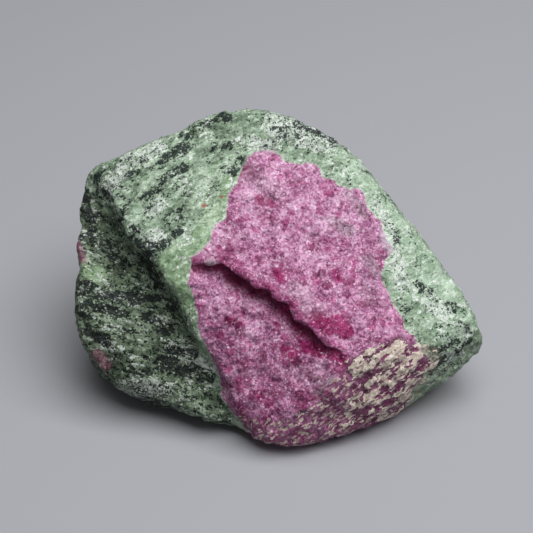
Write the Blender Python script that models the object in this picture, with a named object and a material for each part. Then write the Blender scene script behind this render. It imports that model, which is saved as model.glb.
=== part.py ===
"""A hand specimen of ruby in zoisite: one rough stone, broken from a larger block.

The stone is one solid. Its corners are set first, as a mason would strike them: the hull of one set is
the block, and the hull of the other is the lobe that swells from the block's left flank. The two are fused
and worn round, then the hollows, the ledge, the rough breaks at the back and the lumps are pressed in, and
the stone is cut flat where it rests, a little under its lowest edges. Lengths below are in millimetres; the
scene is in metres.
"""

import bmesh
import bpy
import numpy as np
from mathutils import Vector, noise

MM = 0.001

# Corners of the block: x to the right, y away from the front, z up from the stone's lower edges.
CROWN = [(-31.6, 10, 29.8), (-28.7, 9, 32.3), (-25.5, 9, 34.2), (-19.8, 9.4, 36), (-13, 11.3, 38.8),
         (-8.7, 12.4, 40.6), (-3.6, 12.4, 41.6), (1.4, 12.4, 40.7), (5.8, 12.2, 38.8), (12.2, 11.2, 36.3)]
RIGHT_RIM = [(14.9, 9.1, 34), (19.3, 5, 29.8), (23, 1.9, 26.6), (27.8, -2.8, 22), (32.1, -7.1, 17.8),
             (34.8, -9.8, 15.2), (37.4, -10.8, 11.2), (37, -9.4, 6)]
LIP = [(-7.3, -11, 26.7), (12.3, -20.1, 14.6)]
FRONT_RIM = [(-0.7, -25.6, 1.8), (3.9, -23.9, 6.6), (8.8, -23.3, 8.5), (12.8, -20.7, 13.8),
             (21.3, -16.1, 14.6), (28.9, -15.8, 12.6)]
BROW = [(-28.3, 6.5, 31), (-23.6, -2.7, 27.6), (-19.2, -8.6, 25.2), (-12.5, -12.6, 22.6),
        (-10.5, -16.6, 16.2), (-6, -22.3, 7), (-2.7, -24.6, 3.6)]
BACK = [(-29, 14, 27), (-31, 8, 22), (-10, 22, 31), (5, 22.5, 31), (17, 17, 26), (28, 6, 17), (34, -3, 10),
        (-24, 19, 8), (-6, 25, 6), (12, 23, 5), (26, 12, 3.5), (33, -1, 3)]
BLOCK_FOOT = [(30, -14, 2), (23, -17.8, -1), (18.3, -20.2, -1), (13.2, -23.4, -1), (4.2, -26.4, -0.9),
              (-2, -24.2, -1), (-8, -18, -1.5), (-13, -12, -1.5), (-20, -6, -1.5), (-28, 4, -1.5),
              (31, -2, -1.5), (24, 10, -1.5), (10, 20, -1.5), (-6, 22, -1.5), (-20, 16, -1.5)]
BLOCK_SOLE = [(23, -8, -4.5), (15, -15, -4.5), (5, -20.5, -4.5), (-1, -19, -4.5), (-9, -10, -4.5),
              (-19, 0, -4.5), (-21, 8, -4.5), (-12, 15, -4.5), (6, 14, -4.5), (19, 5, -4.5)]

# Corners of the lobe: its inner edge beside the brow, its outer edge, and its foot.
LOBE_TOP = [(-27.9, -0.3, 22.5), (-24.3, -4.6, 19), (-19.7, -7.7, 16.5),
            (-15.5, -10, 14), (-12.1, -13.1, 10), (-9.9, -16.8, 6.5), (-7.5, -20.2, 3)]
LOBE_SIDE = [(-31.8, 9, 28.6), (-32.8, 6.5, 27.2), (-33, 2.7, 24), (-33.1, 0.4, 21.5), (-32.8, -6.6, 18.5),
             (-32.8, -9.5, 16.5), (-32.2, -12, 13.5), (-30.5, -14.2, 10), (-27.9, -16, 6.5),
             (-21.5, -18.5, 3.6), (-14.6, -20.4, 2.4), (-7, -22.4, 1.5)]
LOBE_FOOT = [(-28, 9, 24), (-31.5, 6, 12), (-28, 9, -1.5), (-31, 0, -1.5), (-30, -6, -1.5), (-27, -11, -1.5),
             (-20, -15, -1.5), (-13, -17.5, -1.5), (-6, -21, -1.5)]
LOBE_SOLE = [(-23, 5, -4.5), (-23, -3, -4.5), (-16, -7, -4.5), (-8, -10, -4.5)]

# The ledge where the upper ruby face breaks off above the lower one: its lip, from left to right,
# and the height of the step at each of these points.
LEDGE = [((-12.6, -9, 26.5), 0.3), ((-9, -10.7, 26.5), 1.6), ((-7, -11.2, 26.4), 2.2),
         ((-4.6, -12, 25), 2.6), ((-1, -13.2, 23.4), 2.6), ((1.4, -14, 22.2), 2.4), ((3.4, -15, 20.8), 2.2),
         ((5.5, -16.5, 19), 2.0), ((8.4, -18.4, 16.9), 1.4), ((11.6, -19.6, 15.3), 0.7),
         ((13, -20.3, 14.4), 0.1)]
LEDGE_LIP = 0.3  # the lip rounds off over this width
LEDGE_WALL = 0.9  # width of the step's wall, seen square on to the face
LEDGE_FADE = 21.0  # the recess below the ledge runs out over this distance
LEDGE_ROOT = 0.8  # the wall's foot is cut back this much further, under the highest part of the lip
ROOT_REACH = 4.0  # and that cut runs out over this distance
RUBY_FACING = Vector((0.08, -0.72, 0.69)).normalized()  # outward, midway between the two ruby faces

# Hollows: the points of a path, then how far it reaches to each side and how deep it is.
HOLLOWS = [
    ("under the brow", [(-29.5, 3, 26.5), (-27, -1, 24), (-23.5, -5.5, 21.5), (-18, -9, 19),
                        (-14, -11.5, 16), (-11.5, -15, 11.5), (-8.5, -19.5, 6)], 3.4, 1.6),
    ("between crown and ruby", [(-4.6, 5.5, 37), (-5.5, 1, 34), (-7.3, -9, 27.5)], 6.0, 1.3),
    ("side notch", [(-32.5, -3, 19.5), (-27, -4.5, 19.5)], 2.4, 1.0),
]

# Lumps of the broken surface: how wide they are and how far they stand out or in.
LUMPS = [(13.0, 0.65), (6.0, 0.40), (3.0, 0.22)]

# Rougher breaks on the back and the sides: how wide each flat face is and how steeply it is tipped.
BREAKS = [(13.0, 0.24), (6.0, 0.15)]
BREAK_STRAY = 0.12  # how far the edges of these faces wander, as a share of the width
ROUGH_SIDE = Vector((0, 0.95, -0.3))  # where they lie, turned away from the ruby, which broke clean

GRAIN = 0.75  # size of the faces while the stone is shaped
WEAR_PASSES = 14  # smoothing passes that wear the struck edges round
SETTLE_PASSES = 4  # and those that ease the ledge, the hollows and the broken faces in
FACES_KEPT = 10500  # triangles of the finished stone, before its underside is cut flat
REST = -3.4  # the underside is cut flat at this height
SNAP = 0.3  # points this near the flat underside are put on it


def add_hull(shape, corners):
    """Adds the hull of these corners to the shape as a closed body."""
    verts = [shape.verts.new(Vector(corner) * MM) for corner in corners]
    hull = bmesh.ops.convex_hull(shape, input=verts)
    spare = [v for v in hull["geom_interior"] if isinstance(v, bmesh.types.BMVert)]
    bmesh.ops.delete(shape, geom=spare, context="VERTS")


def broken_stone():
    """The block and its lobe, as two hulls that overlap."""
    shape = bmesh.new()
    add_hull(shape, CROWN + RIGHT_RIM + LIP + FRONT_RIM + BROW + BACK + BLOCK_FOOT + BLOCK_SOLE)
    add_hull(shape, LOBE_TOP + LOBE_SIDE + LOBE_FOOT + LOBE_SOLE)
    bmesh.ops.recalc_face_normals(shape, faces=shape.faces)
    mesh = bpy.data.meshes.new("ruby_in_zoisite")
    shape.to_mesh(mesh)
    shape.free()
    stone = bpy.data.objects.new("ruby_in_zoisite", mesh)
    bpy.context.scene.collection.objects.link(stone)
    return stone


def apply_modifiers(stone):
    """Replaces the stone's mesh with what its modifiers make of it."""
    graph = bpy.context.evaluated_depsgraph_get()
    made = bpy.data.meshes.new_from_object(stone.evaluated_get(graph))
    stone.modifiers.clear()
    stone.data = made


def make_even(stone):
    """Gives the block small, even faces, as one closed skin."""
    even = stone.modifiers.new("even faces", "REMESH")
    even.mode = "VOXEL"
    even.voxel_size = GRAIN * MM
    apply_modifiers(stone)


def wear_round(stone, passes):
    wear = stone.modifiers.new("wear", "SMOOTH")
    wear.factor = 0.5
    wear.iterations = passes
    apply_modifiers(stone)


def keep_fewer_faces(stone):
    fewer = stone.modifiers.new("fewer faces", "DECIMATE")
    fewer.ratio = FACES_KEPT / sum(len(face.vertices) - 2 for face in stone.data.polygons)
    apply_modifiers(stone)


def read_points(mesh):
    """Places and normals of the mesh's vertices, in millimetres, as rows of two arrays."""
    places = np.empty(len(mesh.vertices) * 3)
    normals = np.empty(len(mesh.vertices) * 3)
    mesh.vertices.foreach_get("co", places)
    mesh.vertex_normals.foreach_get("vector", normals)
    return places.reshape(-1, 3) / MM, normals.reshape(-1, 3)


def write_points(mesh, places):
    mesh.vertices.foreach_set("co", (places * MM).ravel())
    mesh.update()


def nearest_on_path(places, path):
    """For each place: the nearest point of the path, the path's direction there, and how far along it is,
    counted in points."""
    path = np.array(path, float)
    best = np.full(len(places), np.inf)
    nearest = np.zeros_like(places)
    heading = np.zeros_like(places)
    along = np.zeros(len(places))
    for i, (start, end) in enumerate(zip(path[:-1], path[1:])):
        run = end - start
        t = np.clip((places - start) @ run / (run @ run), 0, 1)
        foot = start + t[:, None] * run
        distance = np.linalg.norm(places - foot, axis=1)
        closer = distance < best
        best[closer] = distance[closer]
        nearest[closer] = foot[closer]
        heading[closer] = run / np.linalg.norm(run)
        along[closer] = i + t[closer]
    return nearest, heading, along, best


def ramp(x, low, high):
    """0 up to low, 1 from high, and smooth between."""
    t = np.clip((x - low) / (high - low), 0, 1)
    return t * t * (3 - 2 * t)


def step_down(mesh):
    """Drops the lower ruby face below the ledge's lip."""
    places, normals = read_points(mesh)
    lip = [point for point, height in LEDGE]
    nearest, heading, along, distance = nearest_on_path(places, lip)
    outward = np.array(RUBY_FACING)
    across = np.cross(heading, outward)
    below = np.einsum("ij,ij->i", places - nearest, across)
    height = np.interp(along, range(len(LEDGE)), [h for point, h in LEDGE])
    drop = height * ramp(below, -LEDGE_LIP, LEDGE_WALL) * np.clip(1 - distance / LEDGE_FADE, 0, 1)
    root = LEDGE_ROOT * height / max(h for point, h in LEDGE)
    drop += root * ramp(below, -LEDGE_LIP, LEDGE_WALL) * (1 - ramp(below, LEDGE_WALL, ROOT_REACH))
    drop *= ramp(normals @ outward, 0.1, 0.5)  # only where the skin looks to the front
    write_points(mesh, places - drop[:, None] * outward)


def press_hollows(mesh):
    for name, path, reach, depth in HOLLOWS:
        places, normals = read_points(mesh)
        distance = nearest_on_path(places, path)[3]
        drop = depth * np.exp(-((distance / reach) ** 2))
        write_points(mesh, places - drop[:, None] * normals)


def raise_lumps(mesh):
    """Moves the skin out and in by soft noise of several sizes."""
    places, normals = read_points(mesh)
    rise = np.zeros(len(places))
    for layer, (width, height) in enumerate(LUMPS):
        shift = Vector((17.0 * layer, 5.0, 31.0))  # each size has its own place in the noise
        rise += [height * noise.noise(Vector(place) / width + shift) for place in places]
    write_points(mesh, places + rise[:, None] * normals)


def break_faces(mesh):
    """Tips the skin of the back and the sides this way and that in flat faces."""
    places, normals = read_points(mesh)
    rough = ramp(normals @ np.array(ROUGH_SIDE), 0.2, 0.55)
    rise = np.zeros(len(places))
    for layer, (width, slope) in enumerate(BREAKS):
        for index in np.flatnonzero(rough):
            spot = Vector(places[index]) / width + Vector((3.0, 5.0 * layer, 7.0))
            spot += BREAK_STRAY * noise.noise_vector(2.0 * spot)
            middle = noise.voronoi(spot)[1][0]
            tip = noise.cell_vector(57.0 * middle) - Vector((0.5, 0.5, 0.5))  # its own for each face
            rise[index] += width * slope * (spot - middle).dot(tip)
    write_points(mesh, places + (rough * rise)[:, None] * normals)


def cut_flat(stone):
    """Cuts the stone off where it rests, closes the cut with one flat face and stands it at z = 0."""
    shape = bmesh.new()
    shape.from_mesh(stone.data)
    for vert in shape.verts:
        vert.co.z -= REST * MM
        if abs(vert.co.z) < SNAP * MM:
            vert.co.z = 0
    everything = shape.verts[:] + shape.edges[:] + shape.faces[:]
    bmesh.ops.bisect_plane(shape, geom=everything, plane_co=(0, 0, 0), plane_no=(0, 0, 1),
                           dist=1e-6, clear_inner=True)
    flat = [face for face in shape.faces if all(vert.co.z == 0 for vert in face.verts)]
    bmesh.ops.delete(shape, geom=flat, context="FACES")
    rim = [edge for edge in shape.edges if edge.is_boundary]
    bmesh.ops.holes_fill(shape, edges=rim)
    bmesh.ops.triangulate(shape, faces=shape.faces)
    bmesh.ops.recalc_face_normals(shape, faces=shape.faces)
    shape.to_mesh(stone.data)
    shape.free()


def centre(mesh):
    """Puts the origin under the middle of the stone."""
    places = read_points(mesh)[0]
    middle = (places.min(axis=0) + places.max(axis=0)) / 2
    write_points(mesh, places - (middle[0], middle[1], 0))


def rough_zoisite():
    """Dull green, the colour of most of the skin."""
    finish = bpy.data.materials.new("ruby_in_zoisite")
    finish.use_nodes = True
    shader = finish.node_tree.nodes["Principled BSDF"]
    shader.inputs["Base Color"].default_value = (0.17, 0.21, 0.16, 1)
    shader.inputs["Roughness"].default_value = 0.62
    shader.inputs["Metallic"].default_value = 0
    return finish


def main():
    for old in list(bpy.data.objects):
        bpy.data.objects.remove(old)
    stone = broken_stone()
    make_even(stone)
    wear_round(stone, WEAR_PASSES)
    press_hollows(stone.data)
    step_down(stone.data)
    break_faces(stone.data)
    wear_round(stone, SETTLE_PASSES)
    raise_lumps(stone.data)
    keep_fewer_faces(stone)
    cut_flat(stone)
    centre(stone.data)
    stone.data.shade_smooth()
    stone.data.materials.append(rough_zoisite())


main()
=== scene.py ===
"""Ruby in zoisite: a rough hand specimen of green rock with a broad face of ruby broken open in it.

Lengths on the stone and from it to the viewer are in millimetres until they are written to the scene, which
is in metres. The sizes of the floor, the light and the camera's near end are in metres from the start.
"""

import math

import bpy
import numpy as np
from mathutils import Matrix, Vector, noise


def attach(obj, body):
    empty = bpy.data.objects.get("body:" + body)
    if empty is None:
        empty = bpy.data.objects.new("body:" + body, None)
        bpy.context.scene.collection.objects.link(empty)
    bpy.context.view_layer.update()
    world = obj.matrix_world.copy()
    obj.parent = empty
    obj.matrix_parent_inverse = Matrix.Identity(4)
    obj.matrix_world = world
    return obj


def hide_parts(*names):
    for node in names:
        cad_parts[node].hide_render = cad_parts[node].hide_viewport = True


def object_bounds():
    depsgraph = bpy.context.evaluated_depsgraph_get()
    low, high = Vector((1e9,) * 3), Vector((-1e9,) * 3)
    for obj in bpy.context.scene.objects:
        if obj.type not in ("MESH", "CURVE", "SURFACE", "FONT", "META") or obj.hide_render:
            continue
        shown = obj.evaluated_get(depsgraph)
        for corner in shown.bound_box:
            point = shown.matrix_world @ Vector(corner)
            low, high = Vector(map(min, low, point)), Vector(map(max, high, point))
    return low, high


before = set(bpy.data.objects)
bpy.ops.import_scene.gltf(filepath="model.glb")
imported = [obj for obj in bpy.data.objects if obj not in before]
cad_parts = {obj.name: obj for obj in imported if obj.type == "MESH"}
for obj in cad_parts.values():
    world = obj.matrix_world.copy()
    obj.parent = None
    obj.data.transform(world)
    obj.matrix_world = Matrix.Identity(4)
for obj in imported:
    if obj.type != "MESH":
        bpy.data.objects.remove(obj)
solid_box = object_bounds()


# ---- The stone's skin ----
# One block of zoisite rock with ruby grown in it, broken out by hand and never polished. Its form is the
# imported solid's. A finer skin is laid over that form, so that the grain of the rock has faces of its own.

MM = 0.001
SKIN_FACE = 0.375  # size of the skin's faces
SEAM = 0.001  # corners of the solid's loose triangles that are this close are one corner
EASE_PASSES = 6  # smoothing passes that take the solid's flat facets out of the skin

bpy.ops.object.select_all(action="DESELECT")
stone = bpy.data.objects.new("stone_skin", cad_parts["ruby_in_zoisite"].data.copy())
bpy.context.scene.collection.objects.link(stone)
stone.select_set(True)
bpy.context.view_layer.objects.active = stone

bpy.ops.object.mode_set(mode="EDIT")
bpy.ops.mesh.select_all(action="SELECT")
bpy.ops.mesh.remove_doubles(threshold=SEAM * MM)
bpy.ops.object.mode_set(mode="OBJECT")

bpy.ops.object.modifier_add(type="REMESH")
stone.modifiers[0].mode = "VOXEL"
stone.modifiers[0].voxel_size = SKIN_FACE * MM
bpy.ops.object.modifier_apply(modifier=stone.modifiers[0].name)

bpy.ops.object.modifier_add(type="SMOOTH")
stone.modifiers[0].factor = 0.5
stone.modifiers[0].iterations = EASE_PASSES
bpy.ops.object.modifier_apply(modifier=stone.modifiers[0].name)


def skin_points():
    """Places, in millimetres, and normals of the skin's corners, as rows of two arrays."""
    places = np.empty(len(stone.data.vertices) * 3)
    normals = np.empty(len(stone.data.vertices) * 3)
    stone.data.vertices.foreach_get("co", places)
    stone.data.vertex_normals.foreach_get("vector", normals)
    return places.reshape(-1, 3) / MM, normals.reshape(-1, 3)


def ramp(x, low, high):
    """0 up to low, 1 from high, and smooth between."""
    t = np.clip((x - low) / (high - low), 0, 1)
    return t * t * (3 - 2 * t)


def soft_noise(places, width, seed=0.0, stretch=(1, 1, 1)):
    """Soft noise from about -0.5 to 0.5, with lumps of this width."""
    shift = Vector((seed, 2.3 * seed, -1.7 * seed))
    scaled = places / (width * np.array(stretch))
    return np.array([noise.noise(Vector(place) + shift) for place in scaled])


# ---- The ruby ----
# A mass of corundum that the break laid open across the front of the block. It is granular, not one
# crystal, and meets the zoisite along a ragged line. The places of all marks are measured on a sheet held
# up in front of the stone, square to a viewer who looks down on it: millimetres right and up.

VIEW_RISE = 40.0  # degrees that the viewer looks down
VIEW_REACH = 256.0  # from the viewer to the middle of the stone
VIEW_MIDDLE = np.array([-2.28, 0.34, 20.4])  # the middle of the sheet, in the stone's frame

RUBY_OUTLINE = [
    (-13.4, 1.5), (-11.5, 2.7), (-9.6, 4.6), (-9.1, 7.2), (-7.0, 8.7), (-6.3, 12.5), (-5.1, 15.3),
    (-3.5, 18.1), (-2.0, 20.1), (-0.6, 20.8), (1.5, 20.1), (2.9, 18.6), (5.1, 17.9), (8.4, 17.6),
    (9.9, 15.6), (12.5, 14.1), (15.5, 13.6), (17.0, 11.7), (17.6, 9.6), (19.8, 7.7), (21.0, 5.1),
    (22.0, 2.5), (20.8, 1.6), (19.8, -1.5), (20.5, -3.9), (22.0, -6.3), (23.6, -8.9), (23.8, -10.3),
    (25.7, -12.7), (28.3, -16.2), (26.0, -20.5), (24.6, -22.9), (23.1, -27.4), (13.6, -32.6),
    (2.3, -33.5), (-2.5, -30.0), (-4.8, -26.4), (-6.8, -23.6), (-8.2, -19.5), (-9.8, -15.6),
    (-11.8, -10.3), (-12.5, -6.5), (-13.2, -3.2)]
RUBY_DEPTH = 16.0  # how far the mass goes in behind the front of the stone
RUBY_BLEBS = [  # the middles and radii of three small patches on the back
    ((8, 21, 24.6), 6.5), ((-2, 24, 14.6), 3.2), ((24, 12, 16.6), 2.6)]
EDGE_WANDER = 0.55  # the ruby's edge strays by this much to either side


def on_sheet(places):
    """Where the viewer sees these places on the sheet, and how far in front of the sheet they are."""
    rise = math.radians(VIEW_RISE)
    to_viewer = np.array([0, -math.cos(rise), math.sin(rise)])
    up = np.array([0, math.sin(rise), math.cos(rise)])
    offset = places - VIEW_MIDDLE
    nearer = offset @ to_viewer
    spread = VIEW_REACH / (VIEW_REACH - nearer)
    return np.column_stack([offset[:, 0] * spread, (offset @ up) * spread]), nearer


def inside_by(points, outline):
    """How far inside the outline each point of the sheet is. Outside, it is negative."""
    corners = np.array(outline)
    nearest = np.full(len(points), np.inf)
    inside = np.zeros(len(points), bool)
    for start, end in zip(corners, np.roll(corners, -1, axis=0)):
        run = end - start
        share = np.clip((points - start) @ run / (run @ run), 0, 1)
        nearest = np.minimum(nearest, np.linalg.norm(points - start - share[:, None] * run, axis=1))
        spans = (start[1] > points[:, 1]) != (end[1] > points[:, 1])
        with np.errstate(divide="ignore", invalid="ignore"):
            crossing = start[0] + (points[:, 1] - start[1]) / (end[1] - start[1]) * run[0]
        inside ^= spans & (points[:, 0] < crossing)
    return np.where(inside, nearest, -nearest)


def keep(name, values):
    """Keeps a value for each corner of the skin, for the stone's finish to read."""
    stone.data.attributes.new(name, "FLOAT", "POINT")
    stone.data.attributes[name].data.foreach_set("value", values)


places, normals = skin_points()
sheet, nearer = on_sheet(places)
ruby = np.minimum(inside_by(sheet, RUBY_OUTLINE), nearer + RUBY_DEPTH)
for middle, radius in RUBY_BLEBS:
    ruby = np.maximum(ruby, radius - np.linalg.norm(places - middle, axis=1))
ruby += EDGE_WANDER * (soft_noise(places, 2.6, 4.0) + 0.8 * soft_noise(places, 1.1, 9.0))
keep("ruby", ruby)


# ---- Marks in the rock ----
# Black hornblende lies in the zoisite in short streaks, white feldspar in veins and knots, and beside the
# ruby the zoisite is a plain light green. The ruby has deeper crimson grains in places. Each stroke is
# its two ends on the sheet and its half width.

BLACK_STROKES = [
    (-14.5, 22.8, -7.0, 25.8, 0.7), (-17.9, 18.4, -14.6, 20.5, 0.6), (-18.4, 15.0, -14.3, 17.0, 0.5),
    (-21.0, 12.0, -18.4, 13.7, 0.5), (-17.4, 8.0, -15.3, 9.1, 0.7), (-18.4, 3.5, -15.0, 6.0, 0.4),
    (-20.5, 2.5, -19.5, 3.4, 0.6), (-5.3, 16.3, -4.1, 18.4, 0.7), (-7.2, 20.1, -5.4, 21.2, 0.6),
    (5.8, 25.0, 9.6, 23.3, 0.6), (10.3, 23.6, 13.6, 20.8, 0.9), (14.3, 14.8, 15.0, 14.4, 0.5),
    (21.0, 11.8, 21.7, 11.5, 0.5), (17.2, 17.2, 18.2, 16.7, 0.6), (26.4, -2.9, 26.7, -4.1, 0.5),
    (28.4, -4.6, 29.0, -5.8, 0.5), (22.2, 6.0, 22.6, 4.6, 0.5), (-26.7, 10.1, -25.0, 8.0, 0.5),
    (-28.1, 13.2, -26.7, 11.5, 0.3), (-29.4, 14.6, -28.4, 16.6, 0.4), (-23.6, 6.0, -21.5, 4.2, 0.8),
    (31.7, -6.7, 33.8, -7.9, 0.6), (-31.8, 13.5, -29.8, 4.5, 0.6), (-28.2, 4.0, -24.6, 0.2, 0.8),
    (-21.6, 1.6, -18.4, -3.0, 0.6), (-31.0, -6.2, -24.6, -8.4, 0.5), (26.0, -13.6, 29.0, -14.2, 0.4),
    (30.5, -10.3, 32.6, -8.9, 0.4), (33.4, -9.0, 35.2, -11.0, 0.4), (30.0, -14.6, 33.0, -13.0, 0.2),
    (33.0, -14.6, 35.5, -12.6, 0.2), (28.0, -17.6, 31.0, -16.0, 0.2), (30.5, -12.2, 32.5, -12.8, 0.3),
    (-22.5, -22.8, -17.0, -24.0, 0.4), (-24.5, -17.6, -20.5, -18.4, 0.4), (-33.0, -3.6, -25.1, -5.4, 1.0),
    (-25.1, -5.4, -16.0, -6.6, 0.9), (-20.4, -8.7, -17.2, -10.9, 0.9), (-30.9, -11.0, -27.9, -12.9, 0.7),
    (-20.1, -16.1, -16.0, -17.2, 1.1), (-16.0, -17.2, -10.1, -19.2, 1.0),
    (-18.4, -14.0, -12.5, -15.2, 0.6), (-32.6, -7.4, -30.8, -8.4, 0.5)]
WHITE_STROKES = [
    (18.9, 10.5, 21.4, 7.2, 0.5), (21.0, 6.0, 22.7, 0.8, 0.8), (22.4, 0.8, 23.4, -3.2, 0.7),
    (-2.0, 21.4, 1.5, 20.8, 0.6), (1.5, 24.5, 5.8, 25.0, 1.8), (5.8, 22.7, 10.1, 21.9, 1.8),
    (-20.1, 4.6, -18.4, 5.3, 0.9), (-20.1, 9.8, -18.4, 10.6, 0.8), (28.3, -5.8, 30.9, -8.4, 0.9),
    (-9.9, 0.7, -9.0, 0.3, 0.2), (-18.4, 20.6, -24.0, 18.0, 0.7), (-27.6, 13.5, -25.0, 16.2, 1.0),
    (-23.7, -20.5, -17.8, -21.6, 1.0), (-28.4, -4.6, -22.5, -6.1, 0.3), (-18.6, -9.4, -18.0, -9.8, 0.6),
    (-16.6, -14.1, -9.9, -17.4, 0.8), (-28.0, -13.4, -27.2, -14.0, 0.5), (33.0, -10.2, 34.4, -11.6, 0.4),
    (31.0, -15.8, 33.5, -14.6, 0.4), (27.2, -15.4, 29.8, -15.8, 0.3)]
PLAIN_STROKES = [
    (-6.0, 14.1, -7.7, 9.4, 1.2), (-9.4, 7.7, -11.5, 3.7, 1.8), (-14.6, 2.0, -13.2, -5.8, 1.6),
    (-12.2, -7.5, -10.6, -12.7, 0.8), (-16.7, 0.8, -14.1, -3.2, 1.5), (-31.2, -0.3, -29.1, -1.3, 1.0)]
CRIMSON_STROKES = [
    (8.9, -9.2, 10.6, -10.6, 1.0), (12.3, -9.6, 13.8, -11.2, 1.0), (6.8, -13.9, 9.3, -14.8, 0.7),
    (11.4, -15.2, 13.2, -16.2, 0.7), (3.2, -14.4, 4.8, -15.4, 0.5), (-6.6, -9.2, -5.9, -9.5, 0.3),
    (20.5, -22.7, 21.7, -23.4, 0.8), (-4.6, 16.3, -3.9, 17.0, 0.4), (-1.2, 11.6, 0.6, 11.0, 0.4),
    (12.0, -1.0, 12.4, -2.2, 0.3), (2.0, -1.2, 2.6, -2.0, 0.3)]
HAZE_STROKES = [  # a grey dust on the ruby
    (11.8, 7.7, 14.4, 6.0, 0.6), (17.6, 1.1, 19.2, -0.9, 0.6), (14.0, 12.8, 17.0, 9.0, 0.4),
    (20.0, 4.5, 21.5, 2.8, 0.4), (8.6, -22.2, 11.3, -19.3, 0.2)]
PALE_STROKES = [(17.0, 14.5, 26.0, 0.0, 3.6), (26.0, 0.0, 32.0, -9.5, 3.2)]  # the flank on the right
PINK_STROKES = [(-29.4, -15.2, -27.6, -16.9, 0.4), (-32.7, 3.6, -31.8, 1.2, 0.3)]  # traces on the lobe
RED_SPECKS = [(-10.9, 10.4, -10.7, 10.6, 0.2), (-7.8, 12.0, -7.6, 12.0, 0.05), (4.5, 11.6, 4.7, 11.7, 0.2)]
FADE = 0.9  # a stroke fades out over this distance past its half width
SPECK_FADE = 0.35


def strokes(marks, fade=FADE):
    """1 on the strokes, fading to 0 round them."""
    weight = np.zeros(len(sheet))
    for x0, y0, x1, y1, half_width in marks:
        start, run = np.array([x0, y0]), np.array([x1 - x0, y1 - y0])
        share = np.clip((sheet - start) @ run / (run @ run), 0, 1)
        distance = np.linalg.norm(sheet - start - share[:, None] * run, axis=1)
        weight = np.maximum(weight, 1 - ramp(distance, half_width, half_width + fade))
    return weight * in_view


in_view = ramp(normals @ np.array([0, -0.77, 0.64]), -0.1, 0.2)  # 1 where the rock faces the viewer
keep("black", strokes(BLACK_STROKES, 0.6))
keep("white", strokes(WHITE_STROKES))
keep("plain", strokes(PLAIN_STROKES))
keep("crimson", strokes(CRIMSON_STROKES))
keep("haze", strokes(HAZE_STROKES))
keep("pale", strokes(PALE_STROKES, 2.5))
keep("pink", strokes(PINK_STROKES))
keep("red", strokes(RED_SPECKS, SPECK_FADE))
keep("far_side", 1 - in_view)


# ---- The lobe ----
# Left of a worn brow the zoisite swells out in a lobe. It is a deeper green there and close-set with
# hornblende, partly the rock's own colour and partly painted shade on a side turned from the light. Along
# the hollow between the brow and the lobe the hornblende is set a little closer still, as painted shade.

BROW_LINE = [
    (-31.5, 14.0), (-28.2, 10.0), (-24.0, 5.0), (-18.0, 0.5), (-14.5, -6.0), (-12.0, -13.0),
    (-9.5, -19.0), (-6.5, -24.5), (-2.5, -29.0), (-2.5, -40), (-45, -40), (-45, 14.0)]
HOLLOW_SHADE_STROKES = [
    (-29.9, 11.0, -27.3, 6.4, 0.6), (-27.3, 6.4, -23.6, 1.1, 1.2), (-23.6, 1.1, -17.6, -4.1, 1.8),
    (-17.6, -4.1, -13.2, -11.0, 2.0), (-13.2, -11.0, -10.6, -17.9, 1.8), (-10.6, -17.9, -7.2, -24.8, 1.5)]
# Partly painted shade: the steep corner low on the right gets part of the lobe's deeper green.
BEVEL_SHADE_STROKES = [(26.0, -19.5, 34.5, -12.8, 2.2)]  # the corner low on the right is as deep a green

lobe = ramp(inside_by(sheet, BROW_LINE) + 1.5 * soft_noise(places, 4.0, 3.0), -0.8, 1.2)
lobe = np.maximum(lobe, 0.45 * strokes(BEVEL_SHADE_STROKES, 2.0))
keep("lobe", lobe)
keep("hollow", strokes(HOLLOW_SHADE_STROKES))


# ---- The crust ----
# Low on the right the ruby still carries a thin cream crust of the vein it grew against. It has flaked
# off in places and shows the purple skin of the ruby between the flakes. Along the ruby's worn lower rim
# only fine flecks of it are left.

CRUST_OUTLINE = [
    (13.4, -16.6), (20.3, -12.7), (22.9, -11.7), (26.5, -13.4), (29.8, -14.3), (29.6, -16.8), (27.2, -20.5),
    (25.0, -24.2), (21.5, -26.8), (17.2, -27.8), (12.6, -28.8), (13.4, -24.5), (14.8, -21.0)]
RIM_OUTLINE = [
    (-5.0, -25.4), (-3.0, -26.6), (3.0, -26.6), (7.0, -24.6), (10.1, -22.2), (12.6, -18.2), (14.6, -17.2),
    (16.2, -21.9), (15.0, -26.0), (24.0, -26.0), (16.0, -34.0), (0.0, -36.0)]
FLAKE_LENGTH, FLAKE_WIDTH = 3.2, 0.9
FLAKE_TILT = 35.0  # degrees that the flakes run up to the right
FLAKED_FROM = 0.90  # the crust is whole where its cover, patches and grain add up to this

cover = ramp(inside_by(sheet, CRUST_OUTLINE) + 0.8 * soft_noise(places, 1.5, 15.0), -0.7, 1.0) * in_view
worn_rim = ramp(inside_by(sheet, RIM_OUTLINE) + 0.8 * soft_noise(places, 1.8, 16.0), -0.5, 0.6) * in_view
tilt = math.radians(FLAKE_TILT)
along = sheet @ np.array([math.cos(tilt), math.sin(tilt)])
across = sheet @ np.array([-math.sin(tilt), math.cos(tilt)])
flake_places = np.column_stack([along / FLAKE_LENGTH, across / FLAKE_WIDTH, places[:, 2] * 0])
flake_places += 0.7 * soft_noise(places, 2.6, 21.0)[:, None]
patches = 0.5 + 0.9 * soft_noise(flake_places, 1.0, 2.0) + 0.4 * soft_noise(flake_places * 2.1, 1.0, 6.0)
keep("cover", cover)
keep("patches", patches)
keep("worn_rim", worn_rim)
flaked = ramp(0.5 * cover + 0.5 * patches + 0.15, FLAKED_FROM - 0.1, FLAKED_FROM - 0.02)


# ---- The ledge ----
# Across the ruby the upper face breaks off in a low step, and the lower face starts beneath it. The lip is
# crisp and a little crumbled, and the wall under it is cut back into shade and painted a deep crimson shade.

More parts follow.
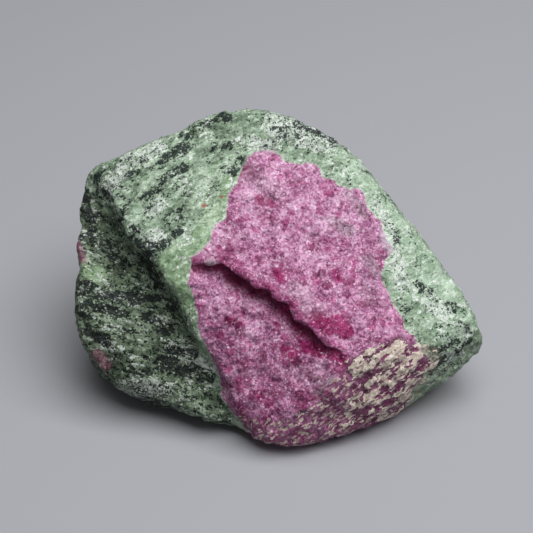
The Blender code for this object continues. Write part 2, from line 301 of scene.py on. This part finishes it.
LIP = [((-13.2, 0.8), 0.6), ((-9.4, 0.4), 0.9), ((-7.3, 0.1), 1.0), ((-4.9, -1.6), 1.0), ((-1.1, -3.7), 1.0),
       ((1.5, -5.3), 1.0), ((3.5, -7.2), 1.0), ((5.8, -9.6), 1.0), ((8.9, -12.4), 0.9), ((12.4, -14.3), 0.7),
       ((13.7, -15.5), 0.2)]  # points of the lip on the sheet, and the share of the full step at each
LIP_RISE, UNDERCUT = 0.15, 0.8
LIP_WANDER, LIP_WANDER_WIDTH = 0.9, 2.8  # the lip strays to either side, and crumbles on a finer scale
LIP_CRUMB, LIP_CRUMB_WIDTH = 0.18, 0.9


def below_lip(points):
    """How far below the lip each point of the sheet lies, and how deep the step is there, from 0 to 1."""
    nearest = np.full(len(points), np.inf)
    below, share_there = np.zeros(len(points)), np.zeros(len(points))
    for (start, first), (end, last) in zip(LIP[:-1], LIP[1:]):
        start, run = np.array(start), np.array(end) - start
        along = (points - start) @ run / (run @ run)
        share = np.clip(along, 0, 1)
        offset = points - start - share[:, None] * run
        distance = np.linalg.norm(offset, axis=1)
        closer = distance < nearest
        nearest[closer] = distance[closer]
        side = np.sign(offset @ np.array([run[1], -run[0]]))
        below[closer] = (side * distance)[closer]
        share_there[closer] = (first + (last - first) * share)[closer]
    past_the_ends = (points[:, 0] < LIP[0][0][0]) | (points[:, 0] > LIP[-1][0][0])
    return below, share_there * ~past_the_ends


# ---- The broken surface ----
# The zoisite broke in coarse lumps and grains, and the ruby in flatter chips. The flakes of crust stand
# proud of it, and a fine groove runs along the ruby's edge.

LUMP, LUMP_RISE = 3.4, 0.40
GRAIN, GRAIN_RISE = 1.1, 0.18
FACET, FACET_SLOPE = 3.0, 0.28  # broad broken faces, each tipped its own way
CHIP, CHIP_SLOPE = 1.4, 0.26
FLAKE_RISE = 0.22
GROOVE, GROOVE_WIDTH = 0.14, 0.5


def tipped(places, width, slope, seed):
    """Heights that tip each broken face of about this width its own way, by up to about this slope."""
    heights = np.empty(len(places))
    seeds = [seed + shift for shift in (0.0, 9.1, 17.3)]
    stray = 0.25 * np.column_stack([soft_noise(places, 0.4 * width, each) for each in seeds])
    for index, place in enumerate(places / width + stray + seed):
        place = Vector(place)
        middle = noise.voronoi(place)[1][0]
        heights[index] = (place - middle).dot(noise.cell_vector(middle * 57.0) - Vector((0.5, 0.5, 0.5)))
    return heights * width * slope


on_ruby = ramp(ruby, -0.2, 0.2)
wander = np.column_stack([soft_noise(places, LIP_WANDER_WIDTH, seed) for seed in (7.0, 8.0)])
crumble = np.column_stack([soft_noise(places, LIP_CRUMB_WIDTH, seed) for seed in (12.0, 13.0)])
wavering = sheet + LIP_WANDER * wander
wavering += LIP_CRUMB * crumble
below, drop_share = below_lip(wavering)
rise = LIP_RISE * drop_share * ramp(-below, -0.1, 0.15) * (1 - ramp(-below, 0.3, 2.0))
rise -= UNDERCUT * drop_share * ramp(below, 0.0, 0.5) * (1 - ramp(below, 0.9, 4.0))
rise += LUMP_RISE * soft_noise(places, LUMP, 1.0) * (1 - 0.35 * on_ruby)
rise += GRAIN_RISE * soft_noise(places, GRAIN, 5.0)
rise += tipped(places, FACET, FACET_SLOPE, 3.0) + tipped(places, CHIP, CHIP_SLOPE, 11.0)
rise += FLAKE_RISE * flaked
rise -= GROOVE * np.exp(-((ruby / GROOVE_WIDTH) ** 2))
rise *= ramp(places[:, 2], 0.0, 0.8)
# Painted shade: the ruby is made darker and more crimson towards the bottom and just under the ledge.
lowness = 0.45 * ramp(-sheet[:, 1], -12.0, 2.0) + 0.45 * ramp(-sheet[:, 1], 8.0, 18.0)
keep("lower_face_shade", lowness + 0.10 * ramp(below, 0.0, 3.0) * drop_share)
# Painted shade: the wall under the lip is marked here to be painted a deep crimson in the finish.
keep("shaded_wall", drop_share * ramp(below, -0.1, 0.25) * (1 - ramp(below, 0.9, 2.5)) * on_ruby)
keep("lip", drop_share * ramp(below, -2.2, -0.8) * (1 - ramp(below, 0.6, 2.0)) * on_ruby)
moved = places + rise[:, None] * normals
low, high = np.array(solid_box[0]) / MM, np.array(solid_box[1]) / MM
moved = np.clip(moved, low, high)
stone.data.vertices.foreach_set("co", (moved * MM).ravel())
stone.data.update()
bpy.ops.object.shade_smooth()


# ---- The stone's finish ----
# Dull broken mineral, neither polished nor waxed: every grain has its own tone, and catches the light at
# its own slant. The minerals are laid down in turn, from the green zoisite to the crust on the ruby.

finish = bpy.data.materials.new("ruby_in_zoisite")
finish.use_nodes = True
tree = finish.node_tree


def put(kind, inputs, **settings):
    """Adds a node with these settings. An input is a plain value, or another node's output."""
    made = tree.nodes.new(kind)
    for name, value in settings.items():
        setattr(made, name, value)
    for name, value in inputs.items():
        if isinstance(value, bpy.types.NodeSocket):
            tree.links.new(value, made.inputs[name])
        else:
            made.inputs[name].default_value = value
    return made


def shade(red, green, blue):
    """A colour from its three usual screen values, 0 to 255."""
    return tuple(((v / 255 + 0.055) / 1.055) ** 2.4 for v in (red, green, blue)) + (1,)


def sum_of(total, *others):
    for other in others:
        total = put("ShaderNodeMath", {0: total, 1: other}, operation="ADD").outputs[0]
    return total


def times(a, b):
    return put("ShaderNodeMath", {0: a, 1: b}, operation="MULTIPLY").outputs[0]


def larger(a, b):
    return put("ShaderNodeMath", {0: a, 1: b}, operation="MAXIMUM").outputs[0]


def blend(share, a, b):
    """Value a, turning to b as the share rises to 1."""
    return put("ShaderNodeMix", {0: share, 2: a, 3: b}).outputs[0]


def between(value, low, high, new_low=0.0, new_high=1.0):
    """The value's rise from low to high, as a smooth rise from new_low to new_high."""
    inputs = {"Value": value, "From Min": low, "From Max": high, "To Min": new_low, "To Max": new_high}
    return put("ShaderNodeMapRange", inputs, interpolation_type="SMOOTHSTEP").outputs["Result"]


def mix(share, a, b):
    """Colour a, turning to b as the share rises to 1."""
    made = tree.nodes.new("ShaderNodeMix")
    made.data_type = "RGBA"
    for socket, value in ((made.inputs[0], share), (made.inputs[6], a), (made.inputs[7], b)):
        if isinstance(value, bpy.types.NodeSocket):
            tree.links.new(value, socket)
        else:
            socket.default_value = value
    return made.outputs[2]


def clouds(where, width, seed, detail=2.0, rough=0.5):
    """Soft noise around 0.5, with lumps of this width in millimetres."""
    inputs = {"Vector": where, "W": seed, "Scale": 1 / (width * MM), "Detail": detail, "Roughness": rough}
    return put("ShaderNodeTexNoise", inputs, noise_dimensions="4D").outputs["Fac"]


def grains(where, width):
    """Close-packed grains of about this width: two chance values, the same all over each grain."""
    made = put("ShaderNodeTexVoronoi", {"Vector": where, "Scale": 1 / (width * MM)})
    parts = put("ShaderNodeSeparateColor", {"Color": made.outputs["Color"]})
    return parts.outputs[0], parts.outputs[1]


def tones(value, stops):
    """A colour that runs through these (position, colour) stops."""
    made = put("ShaderNodeValToRGB", {"Fac": value})
    made.color_ramp.elements.remove(made.color_ramp.elements[1])
    made.color_ramp.elements[0].position, made.color_ramp.elements[0].color = stops[0]
    for position, colour in stops[1:]:
        made.color_ramp.elements.new(position).color = colour
    return made.outputs["Color"]


def kept(name):
    return put("ShaderNodeAttribute", {}, attribute_name=name).outputs["Fac"]


def chance(pick, share):
    """1 in the grains whose chance value falls in this share of them."""
    return between(sum_of(pick, share), 1.0, 1.04)


def vector(operation, a, b):
    return put("ShaderNodeVectorMath", {0: a, 1: b}, operation=operation).outputs[0]


def ragged(where, reach, width, seed):
    """The place, strayed by up to about this reach, so that grains laid out on it get ragged edges."""
    inputs = {"Vector": where, "W": seed, "Scale": 1 / (width * MM), "Detail": 2.0}
    stray = put("ShaderNodeTexNoise", inputs, noise_dimensions="4D").outputs["Color"]
    stray = vector("SUBTRACT", stray, (0.5, 0.5, 0.5))
    return vector("ADD", where, vector("MULTIPLY", stray, (reach * 4 * MM,) * 3))


def along_streaks(where, yaw, pitch, stretch):
    """The place, measured so that patterns come out stretched along one direction in the rock."""
    turn = (0, math.radians(pitch), math.radians(yaw))
    inputs = {"Vector": where, "Rotation": turn, "Scale": (stretch, 1, 1)}
    return put("ShaderNodeMapping", inputs, vector_type="TEXTURE").outputs["Vector"]


def slants(where, width, slope):
    """Heights, in metres, that tip each grain's face a different way, by up to about this slope."""
    made = put("ShaderNodeTexVoronoi", {"Vector": where, "Scale": 1 / (width * MM)})
    tip = vector("SUBTRACT", made.outputs["Color"], (0.5, 0.5, 0.5))
    offset = vector("SUBTRACT", where, made.outputs["Position"])
    dot = put("ShaderNodeVectorMath", {0: offset, 1: tip}, operation="DOT_PRODUCT").outputs["Value"]
    return times(dot, 2 * slope)


CROWN_STREAKS = (21.8, -21.2)  # degrees of yaw and pitch that the streaks run at
LOBE_STREAKS = (-18.9, 10.1)
RUBY_STREAKS = (-38.0, 30.0)
FLAKE_STREAKS = (24.0, -26.0)
CRYSTAL = 1.25  # width of the ruby's larger crystals

place = put("ShaderNodeTexCoord", {}).outputs["Object"]
strayed = ragged(place, 0.12, 0.5, 71.0)
crown_flow = along_streaks(strayed, *CROWN_STREAKS, 2.0)
lobe_flow = along_streaks(strayed, *LOBE_STREAKS, 2.6)
on_lobe = kept("lobe")
hollow_shade = kept("hollow")

# The zoisite: soft mottled green, each grain a little lighter or darker than the next.
grain_tone = grains(crown_flow, 0.42)[0]
fine_tone, fine_pick = grains(strayed, 0.26)
mottle = clouds(crown_flow, 1.5, 1.0, 4.0, 0.62)
crown_fibres = clouds(along_streaks(strayed, *CROWN_STREAKS, 5.0), 0.20, 18.0, 2.0, 0.6)
lobe_fibres = clouds(along_streaks(strayed, *LOBE_STREAKS, 5.0), 0.20, 19.0, 2.0, 0.6)
fibres = blend(on_lobe, crown_fibres, lobe_fibres)
drift = clouds(place, 6.5, 2.0)
tone = sum_of(times(mottle, 1.1), times(drift, 0.5), times(grain_tone, 0.16), times(fine_tone, 0.12))
tone = sum_of(tone, times(fibres, 0.65))
level = between(tone, 0.80, 1.72)
zoisite = tones(level, [
    (0.0, shade(82, 101, 78)), (0.3, shade(124, 146, 121)), (0.5, shade(148, 169, 145)),
    (0.7, shade(172, 193, 169)), (1.0, shade(216, 231, 213))])
# The lobe's deeper green is partly the rock's own and partly painted shade on the side turned from the
# light.
deep = tones(level, [
    (0.0, shade(38, 46, 36)), (0.3, shade(74, 89, 69)), (0.6, shade(106, 124, 100)),
    (1.0, shade(168, 184, 162))])
plain = tones(level, [
    (0.0, shade(92, 118, 84)), (0.5, shade(132, 157, 122)), (1.0, shade(186, 209, 178))])
pale = tones(level, [(0.0, shade(120, 146, 120)), (0.5, shade(160, 184, 158)), (1.0, shade(214, 232, 213))])
zoisite = mix(times(kept("pale"), 0.8), mix(on_lobe, zoisite, deep), pale)
zoisite = mix(times(kept("plain"), 0.85), zoisite, plain)

# Feldspar: white grains, many in its knots and veins and on the pale flank.
lobe_tone = grains(lobe_flow, 0.36)[0]
knots = between(clouds(place, 3.2, 7.0, 1.0), 0.52, 0.70)
white_share = sum_of(times(kept("white"), 0.68), times(knots, 0.22), times(kept("pale"), 0.08), 0.03)
white = chance(grain_tone, white_share)
lobe_knots = between(clouds(lobe_flow, 2.6, 8.0, 1.0), 0.52, 0.66)
lobe_white = chance(lobe_tone, sum_of(times(lobe_knots, 0.24), times(kept("white"), 0.50), 0.05))
white = blend(on_lobe, white, lobe_white)
white = larger(white, chance(fine_tone, sum_of(times(white_share, 0.5), times(on_lobe, 0.01))))
feldspar = mix(fine_pick, shade(176, 192, 176), shade(240, 244, 240))
feldspar = mix(on_lobe, feldspar, mix(fine_pick, shade(138, 150, 138), shade(226, 232, 226)))
zoisite = mix(times(white, 0.82), zoisite, feldspar)

# Hornblende: black marks drawn out along the streaks, frayed at the edges and strewn with finer grains.
mark_flow = along_streaks(ragged(place, 0.20, 0.9, 73.0), *CROWN_STREAKS, 1.8)
mark_pick = grains(mark_flow, 0.80)[1]
lobe_mark_flow = along_streaks(ragged(place, 0.20, 0.9, 75.0), *LOBE_STREAKS, 2.2)
lobe_mark_pick = grains(lobe_mark_flow, 0.6)[1]
swarm = between(clouds(place, 5.0, 15.0, 1.0), 0.42, 0.60)
frayed = sum_of(times(clouds(crown_flow, 0.45, 16.0, 3.0, 0.65), 1.2), -0.6)
lobe_frayed = sum_of(times(clouds(lobe_flow, 0.45, 17.0, 3.0, 0.65), 1.2), -0.6)
mark = sum_of(times(mark_pick, 0.55), times(kept("pale"), -0.16), frayed)
# Painted shade: a little more hornblende along the hollow between the brow and the lobe.
lobe_mark = sum_of(times(lobe_mark_pick, 0.5), times(hollow_shade, 0.02), lobe_frayed, 0.08)
mark = blend(on_lobe, mark, lobe_mark)
mark = sum_of(mark, times(swarm, 0.12), times(kept("black"), 0.34), times(kept("plain"), -0.32))
far_streaks = between(clouds(crown_flow, 2.2, 33.0, 2.0), 0.48, 0.62, -0.06, 0.24)
mark = sum_of(mark, times(fibres, 0.6), times(kept("far_side"), far_streaks), -0.3)
holes = times(chance(fine_tone, blend(on_lobe, 0.18, 0.10)), -0.75)
black = times(between(mark, 0.57, 0.65), sum_of(1.0, holes))
near_mark = between(mark, 0.30, 0.60)
strewn = sum_of(times(near_mark, 0.20), times(kept("white"), 0.09), times(on_lobe, 0.07), 0.03)
black = larger(black, chance(fine_pick, strewn))
hornblende = mix(fine_tone, shade(4, 7, 10), shade(46, 54, 60))
# Partly painted shade: the hornblende on the lobe is darker still.
hornblende = mix(times(on_lobe, 0.6), hornblende, shade(4, 5, 4))
zoisite = mix(times(near_mark, 0.12), zoisite, shade(66, 80, 66))
zoisite = mix(times(black, 0.92), zoisite, hornblende)
zoisite = mix(times(kept("cover"), 0.45), zoisite, shade(166, 156, 136))
zoisite = mix(times(kept("pink"), times(mottle, 0.9)), zoisite, shade(164, 96, 128))
zoisite = mix(times(kept("red"), 0.8), zoisite, shade(150, 70, 50))

# The ruby: dusty mauve, finely granular, with crimson crystals where it is purest and pale seams between.
ruby_tone, ruby_pick = grains(strayed, 0.36)
crystal_place = ragged(place, 0.22, 0.8, 74.0)
crystal_tone, crystal_pick = grains(crystal_place, CRYSTAL)
lower_face_shade = kept("lower_face_shade")
ruby_flow = along_streaks(strayed, *RUBY_STREAKS, 3.0)
ruby_value = sum_of(times(ruby_tone, 0.20), times(fine_tone, 0.26), times(crystal_tone, 0.20))
ruby_mottle = clouds(place, 0.5, 23.0, 4.0, 0.65)
ruby_value = sum_of(ruby_value, times(ruby_mottle, 0.50), times(clouds(place, 3.4, 26.0), 0.5))
ruby_fibres = clouds(ruby_flow, 0.26, 24.0, 2.0, 0.6)
# Painted shade: the ruby's tone drops towards the bottom and under the ledge.
ruby_value = sum_of(ruby_value, times(ruby_fibres, 0.36), times(lower_face_shade, -0.12))
ruby_level = between(ruby_value, 0.50, 1.49)
ruby_colour = tones(ruby_level, [
    (0.0, shade(104, 36, 76)), (0.25, shade(154, 88, 129)), (0.5, shade(194, 136, 173)),
    (0.75, shade(220, 172, 204)), (1.0, shade(248, 222, 240))])
rich = tones(ruby_level, [
    (0.0, shade(80, 4, 46)), (0.4, shade(134, 24, 86)), (0.7, shade(174, 58, 126)),
    (1.0, shade(228, 154, 202))])
blush = sum_of(clouds(place, 2.2, 21.0, 4.0, 0.65), times(lower_face_shade, 0.04))
ruby_colour = mix(between(blush, 0.47, 0.72, 0.0, 0.8), ruby_colour, rich)
crystal_share = sum_of(times(lower_face_shade, 0.08), 0.07)
ruby_colour = mix(times(chance(crystal_pick, crystal_share), 0.65), ruby_colour, rich)
crimson = sum_of(kept("crimson"), times(clouds(crystal_place, 1.1, 28.0, 3.0, 0.6), 1.4), -0.7)
ruby_colour = mix(between(crimson, 0.20, 0.80, 0.0, 0.95), ruby_colour, rich)
ruby_colour = mix(between(crimson, 0.6, 1.1, 0.0, 0.35), ruby_colour, shade(146, 14, 84))
ruby_colour = mix(times(kept("lip"), between(ruby_tone, 0.0, 1.0, 0.4, 0.9)), ruby_colour, rich)
cells = {"Vector": crystal_place, "Scale": 1 / (CRYSTAL * MM)}
seam = put("ShaderNodeTexVoronoi", cells, feature="DISTANCE_TO_EDGE").outputs["Distance"]
seamed = between(clouds(place, 1.8, 27.0, 1.0), 0.50, 0.66, 0.0, 0.5)
seam = times(between(seam, 0.07, 0.0), seamed)
ruby_colour = mix(seam, ruby_colour, shade(226, 196, 216))
greyed = sum_of(between(clouds(place, 8.0, 22.0, 1.0), 0.56, 0.72, 0.0, 0.2), times(kept("haze"), 0.4))
greyed = times(greyed, sum_of(1.0, times(kept("lip"), -1.0)))
ruby_colour = mix(greyed, ruby_colour, mix(ruby_tone, shade(104, 98, 102), shade(172, 164, 170)))
ruby_colour = mix(times(chance(ruby_pick, 0.05), 0.6), ruby_colour, shade(88, 28, 62))
# Painted highlights: a few fine grains are painted near white, as glints.
ruby_colour = mix(times(chance(fine_pick, 0.05), 0.55), ruby_colour, shade(240, 220, 236))
ruby_colour = mix(times(kept("white"), 0.5), ruby_colour, shade(214, 204, 212))
# Painted shade: the wall under the lip is painted a dark crimson, as the shade under the overhang.
wall_shade_colour = mix(ruby_tone, shade(62, 0, 32), shade(118, 4, 60))
ruby_colour = mix(times(kept("shaded_wall"), 0.92), ruby_colour, wall_shade_colour)

# The crust on the ruby's lower right: cream flakes over a purple-brown skin, and flecks on the worn rim.
flake_flow = along_streaks(ragged(place, 0.16, 0.6, 72.0), *FLAKE_STREAKS, 2.3)
flake_tone, flake_pick = grains(flake_flow, 0.36)
whole = sum_of(times(kept("cover"), 0.5), times(kept("patches"), 0.5), times(flake_tone, 0.34))
whole = sum_of(whole, times(clouds(flake_flow, 0.30, 31.0, 3.0, 0.6), 0.55), -0.295)
flake = times(between(whole, FLAKED_FROM - 0.01, FLAKED_FROM + 0.01), between(kept("cover"), 0.1, 0.3))
fleck = chance(flake_pick, times(kept("worn_rim"), 0.30))
underskin = mix(ruby_tone, shade(68, 22, 48), shade(134, 72, 108))
on_skin = larger(kept("cover"), times(kept("worn_rim"), 0.75))
ruby_colour = mix(times(on_skin, 0.85), ruby_colour, underskin)
cream_tone = sum_of(times(fine_tone, 0.4), times(flake_tone, 0.6))
cream = mix(cream_tone, shade(158, 138, 122), shade(240, 228, 216))

edge = sum_of(kept("ruby"), times(sum_of(clouds(place, 0.5, 41.0, 3.0, 0.6), -0.5), 0.9))
is_ruby = between(edge, -0.06, 0.06)
rim = times(between(edge, -0.55, -0.1), between(edge, 0.1, -0.05))
zoisite = mix(times(rim, 0.3), zoisite, shade(206, 220, 204))
colour = mix(is_ruby, zoisite, ruby_colour)
colour = mix(flake, colour, cream)
colour = mix(times(fleck, 0.75), colour, cream)

# Every grain's broken face is tipped its own way, so some catch the light and others lose it.
height = sum_of(slants(place, 0.8, 0.22), slants(place, 0.38, 0.30), slants(crown_flow, 1.7, 0.12))
height = sum_of(height, times(clouds(place, 1.0, 51.0, 4.0, 0.6), 0.22 * MM), times(flake, 0.10 * MM))
height = sum_of(height, times(black, -0.05 * MM))
bump = put("ShaderNodeBump", {"Height": height, "Distance": 1.0, "Strength": 1.0}).outputs["Normal"]
roughness = between(fine_pick, 0.70, 1.0, 0.62, 0.28)
shader = tree.nodes["Principled BSDF"]
tree.links.new(colour, shader.inputs["Base Color"])
tree.links.new(roughness, shader.inputs["Roughness"])
tree.links.new(bump, shader.inputs["Normal"])
shine = sum_of(between(black, 0.0, 1.0, 0.38, 0.14), times(kept("shaded_wall"), -0.2))
tree.links.new(shine, shader.inputs["Specular IOR Level"])

stone.data.materials.clear()
stone.data.materials.append(finish)
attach(stone, "root")
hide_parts("ruby_in_zoisite")


# ---- The floor ----
# A plain sheet of pale grey card, flat under the stone and wide enough to fill the view.

FLOOR_SIDE = 3.0

bpy.ops.object.select_all(action="DESELECT")
bpy.ops.mesh.primitive_plane_add(size=FLOOR_SIDE)
floor = bpy.context.object
floor.name = "floor"
card = bpy.data.materials.new("pale_card")
card.use_nodes = True
card.node_tree.nodes["Principled BSDF"].inputs["Base Color"].default_value = shade(158, 159, 164)
card.node_tree.nodes["Principled BSDF"].inputs["Roughness"].default_value = 0.85
card.node_tree.nodes["Principled BSDF"].inputs["Specular IOR Level"].default_value = 0.2
floor.data.materials.append(card)


# ---- Light ----
# A wide soft box high over the stone, a little in front and to the right, and the pale room around it.

BOX_PLACE = (0.12, -0.06, 0.50)
BOX_SIDE, BOX_POWER = 0.46, 3.8
LIT_POINT = (0, 0, 0.018)  # the box faces this point in the stone
ROOM_TINT, ROOM_LIGHT = (0.97, 0.98, 1.0, 1), 0.13

bpy.ops.object.light_add(type="AREA", location=BOX_PLACE)
lamp = bpy.context.object
lamp.name = "key_light"
lamp.data.shape = "SQUARE"
lamp.data.size = BOX_SIDE
lamp.data.energy = BOX_POWER
lamp.rotation_euler = (Vector(LIT_POINT) - Vector(BOX_PLACE)).to_track_quat("-Z", "Y").to_euler()

room = bpy.data.worlds.new("room")
bpy.context.scene.world = room
room.use_nodes = True
room.node_tree.nodes["Background"].inputs["Color"].default_value = ROOM_TINT
room.node_tree.nodes["Background"].inputs["Strength"].default_value = ROOM_LIGHT
bpy.context.scene.view_settings.view_transform = "Standard"


# ---- Camera ----
# A long lens that looks down on the ruby's face from the front.

LENS = 100.0
NEAR_END = 0.01  # of what the camera sees, in metres

bpy.ops.object.camera_add()
camera = bpy.context.object
camera.name = "camera"
camera.data.lens = LENS
camera.data.clip_start = NEAR_END
looking_down = math.radians(VIEW_RISE)
to_viewer = Vector((0, -math.cos(looking_down), math.sin(looking_down)))
camera.location = (Vector(VIEW_MIDDLE) + VIEW_REACH * to_viewer) * MM
camera.rotation_euler = (-to_viewer).to_track_quat("-Z", "Y").to_euler()
bpy.context.scene.camera = camera
